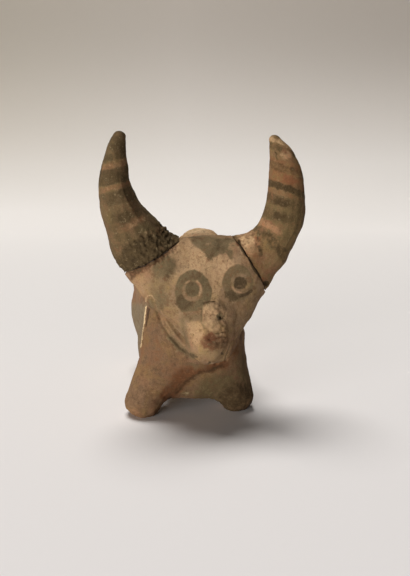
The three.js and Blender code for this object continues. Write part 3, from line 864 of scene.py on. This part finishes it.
EYES = [
    (PALE, 0.0, LEFT_EYE),
    (OLIVE, 1.4, LEFT_EYE),
    (DARK, 0.25, LEFT_EYE),
    (DARK, 0.7, oval(184, 302, 16, 16, -10, 6)),
    (DARK, 0.0, LEFT_BALL),
    (OLIVE, 0.45, LEFT_BALL),
    (OLIVE, 1.4, LEFT_PUPIL),
    (DARK, 0.5, LEFT_PUPIL),
    (DARK, 0.5, oval(205.5, 289, 4, 9, 0, 3)),
    (PALE, 0.5, LEFT_GLINT),
    (OLIVE, 0.0, LEFT_GLINT),
    (PALE, 0.5, line([(185.5, 283), (189, 281)], 1.6, 1.5)),
    (PALE, 0.0, RIGHT_EYE),
    (OLIVE, 0.9, RIGHT_EYE),
    (DARK, 0.0, RIGHT_EYE),
    (DARK, 0.65, oval(232, 296, 16, 11, 20, 5)),
    (DARK, 0.0, RIGHT_BALL),
    (OLIVE, 0.5, RIGHT_BALL),
    (DARK, 0.85, RIGHT_PUPIL),
    (PALE, 0.6, RIGHT_GLINT),
    (OLIVE, 0.0, RIGHT_GLINT),
    (DARK, 1.0, RIGHT_LID),
    (RED, 0.7, RIGHT_LID),
]
FOREHEAD_PATCH = patch(
    [(186, 233), (197, 235), (210, 237), (224, 238), (238, 238), (240, 243), (233, 246), (232, 262)]
    + [(226, 254), (219, 254), (214, 258), (210, 260), (206, 256), (200, 249), (192, 243)],
    soft=3,
)
# Brown dirt under the break of the right horn.
UNDER_BREAK = patch(
    [(124, 270), (134, 269), (145, 263), (158, 256), (169, 247), (170, 252), (160, 261), (149, 268)]
    + [(138, 275), (131, 280)],
    soft=5,
)
TEMPLE = oval(164, 267, 26, 22, -20, 8)
FACE = [
    (OLIVE, 0.3, FACE_OUTLINE),
    (RED, 0.2, FACE_OUTLINE),
    (PALE, 0.55, oval(190, 252, 50, 30, 0, 14)),
    (PALE, 0.75, oval(206, 268, 64, 36, 0, 14)),
    (PALE, 0.6, oval(214, 284, 16, 40, 0, 10)),
    (PALE, 0.35, oval(140, 285, 20, 22, 0, 10)),
    (RED, 0.25, oval(140, 290, 24, 30, 0, 10)),
    # The cheek between the jaw groove and the muzzle is painted olive, partly as shade on its
    # slope.
    (OLIVE, 0.5, oval(170, 316, 24, 56, -25, 12)),
    (OLIVE, 0.6, oval(158, 288, 22, 30, 10, 14)),
    (PALE, 0.0, TEMPLE),
    (OLIVE, 1.0, TEMPLE),
    (DARK, 0.4, oval(169, 273, 8, 11, 10, 5)),
    (OLIVE, 0.45, oval(242, 314, 34, 44, 20, 16)),
    (OLIVE, 0.95, oval(160, 300, 14, 20, 10, 9)),
    (OLIVE, 0.5, oval(258, 292, 22, 26, 30, 10)),
    (RED, 0.9, UNDER_BREAK),
    (DARK, 0.55, UNDER_BREAK),
    (OLIVE, 1.0, FOREHEAD_PATCH),
    (PALE, 0.0, FOREHEAD_PATCH),
    (DARK, 0.3, line([(188, 236), (198, 240), (206, 246)], 7, 4)),
    (DARK, 0.5, oval(219, 247, 16, 11, -10, 5)),
    (DARK, 0.35, oval(210, 255, 8, 7, 0, 4)),
    (DARK, 0.4, line([(215, 241), (228, 239), (238, 239)], 4, 4)),
    (PALE, 0.4, oval(208, 243.5, 6, 4, 0, 3)),
    (PALE, 0.25, oval(233, 245, 14, 12, 0, 6)),
    (RED, 0.2, oval(236, 246, 14, 12, 0, 6)),
]
# The muzzle's left side: rubbed pale clay, painted paler still as the light that falls on it.
LIT_MUZZLE_SIDE = patch(
    [(187, 323), (195, 321), (202, 323), (204, 334), (202, 345), (195, 346), (189, 335)],
    soft=5,
)
SCAR = patch(
    [(203, 306), (209, 303), (216, 306), (218, 314), (219, 331), (210, 331), (203, 324)],
    soft=3,
)
NOSE_SPOT = oval(220.7, 316.5, 8, 7, 0, 2.5)
SNOUT = [
    # The muzzle's left side is painted as lit, with painted shade above it and down its left edge.
    (OLIVE, 0.75, oval(192, 317, 22, 9, -6, 6)),
    (DARK, 0.25, line([(188, 319.5), (194, 317.5), (200, 314)], 1.8, 3)),
    (OLIVE, 0.85, line([(182, 320), (184.5, 334), (189, 347)], 4, 4)),
    (OLIVE, 0.0, oval(196, 334, 15, 26, 0, 4)),
    (PALE, 0.6, LIT_MUZZLE_SIDE),
    (PALE, 0.2, oval(197, 349, 14, 9, 20, 6)),
    (DARK, 0.0, oval(216, 319, 30, 34, 0, 4)),
    (OLIVE, 0.4, oval(217, 319, 32, 32, 0, 5)),
    (PALE, 0.6, SCAR),
    (PALE, 0.45, oval(227, 318, 10, 19, 0, 5)),
    (RED, 0.3, oval(212, 327, 14, 9, 0, 5)),
    (OLIVE, 0.9, line([(203.5, 305), (201.5, 312), (201.5, 322), (204, 328)], 1.4, 2)),
    (DARK, 0.6, line([(201.5, 309), (201.5, 317)], 1.2, 1.5)),
    (DARK, 0.8, line(NOSE_STEP, 1.4, 1.5)),
    (RED, 0.8, line(NOSE_STEP, 1.4, 1.5)),
    # The nostril pit is painted dark as the shade in it.
    (PALE, 0.0, NOSE_SPOT),
    (OLIVE, 1.3, NOSE_SPOT),
    (DARK, 0.45, oval(220.7, 316.5, 5, 4.5, 0, 2)),
    (PALE, 0.0, oval(213, 342, 24, 18, 0, 4)),
    (RED, 0.75, oval(212, 342, 23, 15, 0, 6)),
    (DARK, 0.5, oval(217, 344, 17, 9, 0, 5)),
    (RED, 1.2, oval(211, 338, 8, 11, 0, 3)),
    (DARK, 0.3, oval(211, 338, 4, 6, 0, 3)),
    # Painted light and shade on the grooves beside the mouth: pale between them, dark in them.
    (PALE, 0.6, line([(215, 335.5), (224, 334)], 1.4, 1.5)),
    (PALE, 0.5, line([(215, 340), (224, 338.5)], 1.4, 1.5)),
    (DARK, 0.4, line([(215, 333), (224, 331.5)], 1.2, 1.5)),
    (DARK, 0.4, line([(215, 337.8), (224, 336.3)], 1.2, 1.5)),
    (PALE, 0.15, oval(212, 356, 20, 9, 0, 4)),
    (OLIVE, 0.6, oval(212, 354, 24, 14, 0, 6)),
    # Painted shade under the muzzle: a dark gap and dark dents.
    (DARK, 0.8, line([(191, 354.5), (197.5, 357)], 2, 2)),
    (DARK, 0.8, oval(210, 362.5, 3, 2, 0, 2)),
    (DARK, 0.8, oval(216, 364, 3, 2, 0, 2)),
    (DARK, 0.8, oval(222, 353.5, 3, 3, 0, 2)),
]
# The top of the ridge, where it passes from the chest to the cheek: worn pale clay, painted
# brighter as a highlight.
TOP_PLACES = 8
TOP_LINE = line(RIDGE_TOP, 1.4, 1.2)
TOP_THREAD = thread(ridge[:TOP_PLACES], 3, 2)


def ridge_top(px, py, points):
    """A mask: 1 on the top of the ridge, and 0 elsewhere."""
    return TOP_LINE(px, py, points) * TOP_THREAD(px, py, points)


# The pale edge of the chest, which ends on the cheek in a small hook: worn pale clay painted
# brighter as a highlight, with painted shade beside it and at the hook.
HOOK_SHADE = patch([(148, 299), (152, 299), (155, 305), (152, 309), (148.5, 306)])
BESIDE = patch(BESIDE_RIDGE, soft=1.5)
RIDGE_MARKS = [
    (OLIVE, 0.8, HOOK_SHADE),
    (DARK, 0.6, line([(153, 297.5), (155.5, 303)], 1.2, 1.5)),
    (RED, 0.8, BESIDE),
    (DARK, 0.7, BESIDE),
    (OLIVE, 0.0, ridge_top),
    (PALE, 1.2, ridge_top),
    (DARK, 0.0, thread(ridge, 0.4, 0.4)),
    (OLIVE, 0.0, thread(ridge, 0.4, 0.4)),
    (PALE, 1.2, thread(ridge, 0.5, 0.5)),
    (PALE, 1.0, thread(ridge_hook, 0.4, 0.5)),
]
# Along the jaw groove the clay is olive and dark: partly the old painted band along the jaw, partly
# painted shade in the groove.
JAW = [
    (OLIVE, 0.45, line(JAW_GROOVE[:4], 3, 4)),
    (OLIVE, 0.9, line(JAW_GROOVE[3:6], 6, 4)),
    (DARK, 0.7, line(JAW_GROOVE[3:6], 3, 3)),
    (PALE, 0.3, line([(x + 4, y - 2.5) for x, y in JAW_GROOVE[1:5]], 1.4, 2)),
    (PALE, 0.25, line([(x - 1, y + 1) for x, y in JAW_GROOVE_RIGHT], 1.6, 2)),
]


def set_tone(piece, mask):
    """Gives a piece its tone, from 0, the first clay of its finish, to 1, the clay of its face."""
    points = points_of(piece.data)
    tone = piece.data.attributes.new("tone", "FLOAT", "POINT")
    tone.data.foreach_set("value", mask(*seen(points), points))


CHEST_CLAY = ("#70563f", "#654d37")
CHEST_STAINS = ("#785d3a", "#74533b")
head_clay = fired_clay(
    "head_rubbed_pale_clay",
    *CHEST_CLAY,
    CHEST_STAINS,
    {"olive": "#6a5a40", "pale": "#b0916c", "red": "#5f3e29", "dark": "#4a3b28"},
    speckled=0.2,
    face=("#93775a", "#7b6045", "#9b7d4e", "#946a4e"),
)
whole, head = split_at(whole, NECK_CUT, NECK_FORWARD)
piece = add_piece("head_and_neck", head, "head", head_clay)
lay_marks(piece, FACE, (), EYES + SNOUT + JAW + CRACK_MARKS + RIDGE_MARKS)
set_tone(piece, FACE_OUTLINE)

# The hump.
# An egg of clay on the withers, smoothed down into the back, and rubbed pale on top. The pale top
# is also painted light from above.
HUMP_CUT = spot(0, 0, 48.5)
HUMP_FOOT = 9 * MM
HUMP_WANDER = 0.5
HUMP_GRAIN = 5 * MM
# The pale top of the hump is partly painted light.
HUMP_MARKS = [
    (PALE, 0.6, oval(198, 229, 46, 12, 0, 8)),
    (RED, 0.25, oval(200, 235, 40, 5, 0, 5)),
]


def above_foot(px, py, points):
    """A mask: 0 at the foot of the hump, and 1 above it."""
    height = (points[:, 2] - HUMP_CUT.z) / HUMP_FOOT
    return soft_step(height + HUMP_WANDER * grain(points, HUMP_GRAIN))


BACK_CLAY = ("#7c6148", "#6f553e")
BACK_STAINS = ("#80643f", "#7d5944")
# Above its foot the hump turns to paler clay colours, partly as painted light.
hump_clay = fired_clay(
    "hump_bare_clay",
    *BACK_CLAY,
    BACK_STAINS,
    {"pale": "#cbac86", "red": "#91674a"},
    speckled=0.1,
    face=("#c0a17c", "#ad8e69", "#bd9b67", "#b18362"),
)
whole, hump = split_at(whole, HUMP_CUT, Vector((0, 0, 1)))
piece = add_piece("shoulder_hump", hump, "hump", hump_clay)
lay_marks(piece, HUMP_MARKS)
set_tone(piece, above_foot)

# The chest and front legs.
# One saddle of clay, drawn down into two stub legs. Its edge is pinched up into a pale ridge where
# it lies on the flank, painted bright as a highlight. Paint is rubbed to a red-brown diagonal, with
# olive dirt beyond it that darkens towards the foot on the bull's left, partly as painted shade.
SHOULDER_CUT = spot(0, -8, 0)
CHEST_MARKS = [
    (RED, 0.2, oval(160, 350, 50, 60, 0, 18)),
    (RED, 0.12, oval(136, 378, 10, 20, 20, 6)),
    # Olive and dark over the leg on the bull's left: partly dirt, partly painted shade on the side
    # turned from the light.
    (OLIVE, 0.85, oval(226, 392, 66, 42, -12, 16)),
    (DARK, 0.65, oval(236, 400, 44, 36, -10, 16)),
    (OLIVE, 0.6, oval(240, 372, 18, 40, 0, 10)),
    (RED, 0.9, line([(168, 396), (178, 384), (186, 374)], 16, 9)),
    (RED, 0.9, line([(184, 374), (200, 371), (226, 364)], 7, 6)),
    (DARK, 0.55, line([(176, 392), (186, 382), (200, 373), (222, 366)], 5, 5)),
    (RED, 0.35, oval(232, 352, 14, 22, 0, 8)),
    (OLIVE, 0.6, oval(186, 393, 12, 7, -10, 4)),
    (PALE, 0.25, oval(182, 394, 12, 3, -10, 4)),
    (DARK, 0.7, oval(170, 398, 5, 5, 0, 3)),
    (OLIVE, 0.45, oval(197, 366, 30, 6, 12, 5)),
]
# Behind the ridge the olive wash of the flank runs on under a level line. Where it shows it fades
# out above the leg, and further back it runs over the saddle to the trunk.
WASH_LINE = 304
WASH_EDGE = 10
WASH_END = 342
WASH_END_EDGE = 14
BEHIND_RIDGE = patch([(110, 270), (147, 286)] + CHEST_RIDGE + [(138.5, 352), (110, 352)], 1.5)
SADDLE_BLEND = 7 * MM
SADDLE_START = 1.2
SADDLE_WANDER = 0.4
SADDLE_GRAIN = 4 * MM
LEG_TOP = 7 * MM
LEG_BLEND = 8 * MM
SIDE_BLEND = 4 * MM


def right_side(points):
    """1 on the bull's right, and 0 on its left."""
    return soft_step(0.5 - (points[:, 0] - under_trunk.x) / SIDE_BLEND)


def washed_flank(px, py, points):
    """A mask: 1 behind the ridge and back to the trunk, under the wash line, and 0 elsewhere."""
    beside = BEHIND_RIDGE(px, py, points)
    beside *= band(WASH_LINE, WASH_END, soft=WASH_END_EDGE)(px, py, points)
    back = (points[:, 1] - SHOULDER_CUT.y) / SADDLE_BLEND + SADDLE_START
    back = soft_step(back + SADDLE_WANDER * grain(points, SADDLE_GRAIN))
    above_leg = soft_step((points[:, 2] - LEG_TOP) / LEG_BLEND)
    under_line = band(WASH_LINE, PHOTO_HEIGHT, soft=WASH_EDGE)(px, py, points)
    return np.maximum(beside, back * right_side(points) * above_leg * under_line)


chest_clay = fired_clay(
    "chest_smoothed_clay",
    *CHEST_CLAY,
    CHEST_STAINS,
    {"olive": "#574830", "pale": "#bea47e", "red": "#5e3d26", "dark": "#3a2b1a"},
    speckled=0.12,
    face=("#75654e", "#6c5c46", "#776a4c", "#75604a"),
)
whole, front = split_at(whole, SHOULDER_CUT, Vector((0, -1, 0)))
piece = add_piece("chest_and_front_legs", front, "front_legs", chest_clay)
lay_marks(piece, CHEST_MARKS + JAW, (), RIDGE_MARKS)
set_tone(piece, washed_flank)

# The rump and hind legs, and the trunk that is left between them.
# The back keeps the orange of bare fired clay, and below it the flank has a grey-olive wash.
HAUNCH_CUT = spot(0, 16.5, 0)
SHOULDER_BLEND = 10 * MM
SHOULDER_START = 1.1
SHOULDER_WANDER = 0.5
SHOULDER_GRAIN = 6 * MM


def by_shoulder(px, py, points):
    """A mask: 1 where the trunk meets the chest, and 0 further back."""
    back = (points[:, 1] - SHOULDER_CUT.y) / SHOULDER_BLEND
    return soft_step(SHOULDER_START - back + SHOULDER_WANDER * grain(points, SHOULDER_GRAIN))


def left_shoulder(px, py, points):
    """A mask: by_shoulder on the bull's left, and 0 on its right."""
    return by_shoulder(px, py, points) * (1 - right_side(points))


FLANK_MARKS = [
    (OLIVE, 0.85, band(WASH_LINE, PHOTO_HEIGHT, soft=WASH_EDGE)),
    (OLIVE, 0.0, left_shoulder),
]
flank_clay = fired_clay(
    "flank_washed_clay",
    *BACK_CLAY,
    BACK_STAINS,
    {"olive": "#72634d"},
    speckled=0.08,
    face=CHEST_CLAY + CHEST_STAINS,
)
middle, rear = split_at(whole, HAUNCH_CUT, Vector((0, 1, 0)))
for name, lump, node in (
    ("rump_and_hind_legs", rear, "hind_legs"),
    ("rolled_trunk", middle, "trunk"),
):
    piece = add_piece(name, lump, node, flank_clay)
    lay_marks(piece, (), FLANK_MARKS)
    set_tone(piece, by_shoulder)

# The tail.
# A thin roll of clay pressed down the rump with a thumb.
TAIL_DENTS = [(3, 0.4)]
tail_skin = grown_skin("tail_skin", ["tail"], 0, TAIL_DENTS)
tail = bmesh.new()
tail.from_mesh(tail_skin.data)
bpy.data.objects.remove(tail_skin)
piece = add_piece("rolled_tail", tail, "tail", flank_clay)
lay_marks(piece, ())
set_tone(piece, by_shoulder)

# The studio.
# A pale sheet of paper: a floor that sweeps up behind the bull in one wide curve and turns from the
# light as it rises. Soft daylight comes from above and a little behind, with some from the left.
SWEEP_WIDTH = 3000 * MM
SWEEP_FRONT = -900 * MM
CURVE_START = 450 * MM
CURVE_RADIUS = 330 * MM
CURVE_STEPS = 48
BACKDROP_TOP = 460 * MM
# The tone of the paper, from the front of the sheet to the back of it, in mm from the object. It is
# palest where the sweep starts to rise, and darker at the front and towards the top, as painted
# light and shade.
PAPER_TONES = [
    (-120, "#e3dedb"),
    (60, "#e9e4e0"),
    (450, "#eee9e4"),
    (650, "#eae4dd"),
    (780, "#dbd2c7"),
]
# The paper far back on the left is painted darker as shade: its tone, and between which places it
# turns to that tone, in metres.
PAPER_SHADE_TINT = "#c7beaf"
SHADE_FROM_BACK = {"From Min": 0.555, "From Max": 0.755}
SHADE_FROM_LEFT = {"From Min": 0.1, "From Max": -0.25}
PAPER_ROUGHNESS = 0.95
PAPER_SHEEN = 0.1
PAPER_NEAR = PAPER_TONES[0][0] * MM
PAPER_FAR = PAPER_TONES[-1][0] * MM


def matt_paper():
    """Matt cartridge paper with painted light and shade: palest where the sweep starts to rise,
    darker at the front and towards the top, and darker still far back on the left.
    """
    material, tree, place = new_material("matt_paper")
    axes = add(tree, "ShaderNodeSeparateXYZ", {"Vector": place}).outputs
    back = add(tree, RANGE, {"Value": axes["Y"], "From Min": PAPER_NEAR, "From Max": PAPER_FAR})
    tones = add(tree, "ShaderNodeValToRGB", {"Fac": back})
    stops = tones.color_ramp.elements
    while len(stops) < len(PAPER_TONES):
        stops.new(0.5)
    for stop, (distance, tone) in zip(stops, PAPER_TONES):
        stop.position = (distance * MM - PAPER_NEAR) / (PAPER_FAR - PAPER_NEAR)
        stop.color = linear(tone)
    far = add(tree, RANGE, {"Value": axes["Y"], **SHADE_FROM_BACK})
    left = add(tree, RANGE, {"Value": axes["X"], **SHADE_FROM_LEFT})
    painted_shade = add(tree, MATH, {0: far, 1: left}, operation="MULTIPLY")
    colour = add(tree, MIX, {"Fac": painted_shade, "Color1": tones, "Color2": linear(PAPER_SHADE_TINT)})
    shader = add(
        tree,
        "ShaderNodeBsdfPrincipled",
        {"Base Color": colour, "Roughness": PAPER_ROUGHNESS, "Specular IOR Level": PAPER_SHEEN},
    )
    add(tree, "ShaderNodeOutputMaterial", {"Surface": shader})
    return material


def swept_sheet(name, profile, material):
    """A sheet of paper, drawn out sideways from its profile."""
    bm = bmesh.new()
    corners = [bm.verts.new((-SWEEP_WIDTH / 2, y, z)) for y, z in profile]
    edges = [bm.edges.new(pair) for pair in zip(corners[:-1], corners[1:])]
    sheet = bmesh.ops.extrude_edge_only(bm, edges=edges)
    moved = [item for item in sheet["geom"] if isinstance(item, bmesh.types.BMVert)]
    bmesh.ops.translate(bm, verts=moved, vec=(SWEEP_WIDTH, 0, 0))
    bmesh.ops.recalc_face_normals(bm, faces=bm.faces)
    sheet_object = object_of(name, bm)
    surface(sheet_object, material)
    return sheet_object


paper = matt_paper()
swept_sheet("paper_floor", [(SWEEP_FRONT, 0), (CURVE_START, 0)], paper)
quarter_turn = [math.radians(90 * step / CURVE_STEPS) for step in range(CURVE_STEPS + 1)]
curve = [
    (CURVE_START + CURVE_RADIUS * math.sin(angle), CURVE_RADIUS * (1 - math.cos(angle)))
    for angle in quarter_turn
]
top_edge = (CURVE_START + CURVE_RADIUS, BACKDROP_TOP)
backdrop = swept_sheet("paper_backdrop", curve + [top_edge], paper)
backdrop.visible_shadow = False

# A broad sun, and a low wide window in front on the left that the camera doesn't see.
DAYLIGHT_STRENGTH = 2.7
DAYLIGHT_SPREAD = math.radians(29)
DAYLIGHT_FROM = Vector((-0.13, 0.2, 1))
WINDOW_WIDTH = 0.75
WINDOW_HEIGHT = 0.16
WINDOW_POWER = 11.0
WINDOW_AT = Vector((-0.72, -0.7, 0.08))


def add_light(name, kind, source, **settings):
    """A light that shines from a direction or a place towards the object."""
    data = bpy.data.lights.new(name, kind)
    for key, value in settings.items():
        setattr(data, key, value)
    light = bpy.data.objects.new(name, data)
    light.rotation_euler = source.to_track_quat("Z", "Y").to_euler()
    bpy.context.collection.objects.link(light)
    return light


add_light("daylight", "SUN", DAYLIGHT_FROM, energy=DAYLIGHT_STRENGTH, angle=DAYLIGHT_SPREAD)
window = add_light(
    "window",
    "AREA",
    WINDOW_AT,
    energy=WINDOW_POWER,
    shape="RECTANGLE",
    size=WINDOW_WIDTH,
    size_y=WINDOW_HEIGHT,
)
window.location = WINDOW_AT
window.visible_camera = False

world = bpy.data.worlds.new("room")
bpy.context.scene.world = world
world.use_nodes = True
# Beyond the sheet, the camera sees a wall as pale as the paper, which lights nothing.
WALL_TONE = "#e0dcd5"
WALL_GLOW = 0.8
ROOM_LIGHT = 0.015
room_tree = world.node_tree
rays = add(room_tree, "ShaderNodeLightPath")
glow = add(
    room_tree,
    "ShaderNodeMapRange",
    {"Value": rays.outputs["Is Camera Ray"], "To Min": ROOM_LIGHT, "To Max": WALL_GLOW},
)
wall = room_tree.nodes["Background"]
wall.inputs["Color"].default_value = linear(WALL_TONE)
room_tree.links.new(glow.outputs["Result"], wall.inputs["Strength"])
bpy.context.scene.view_settings.view_transform = "Standard"
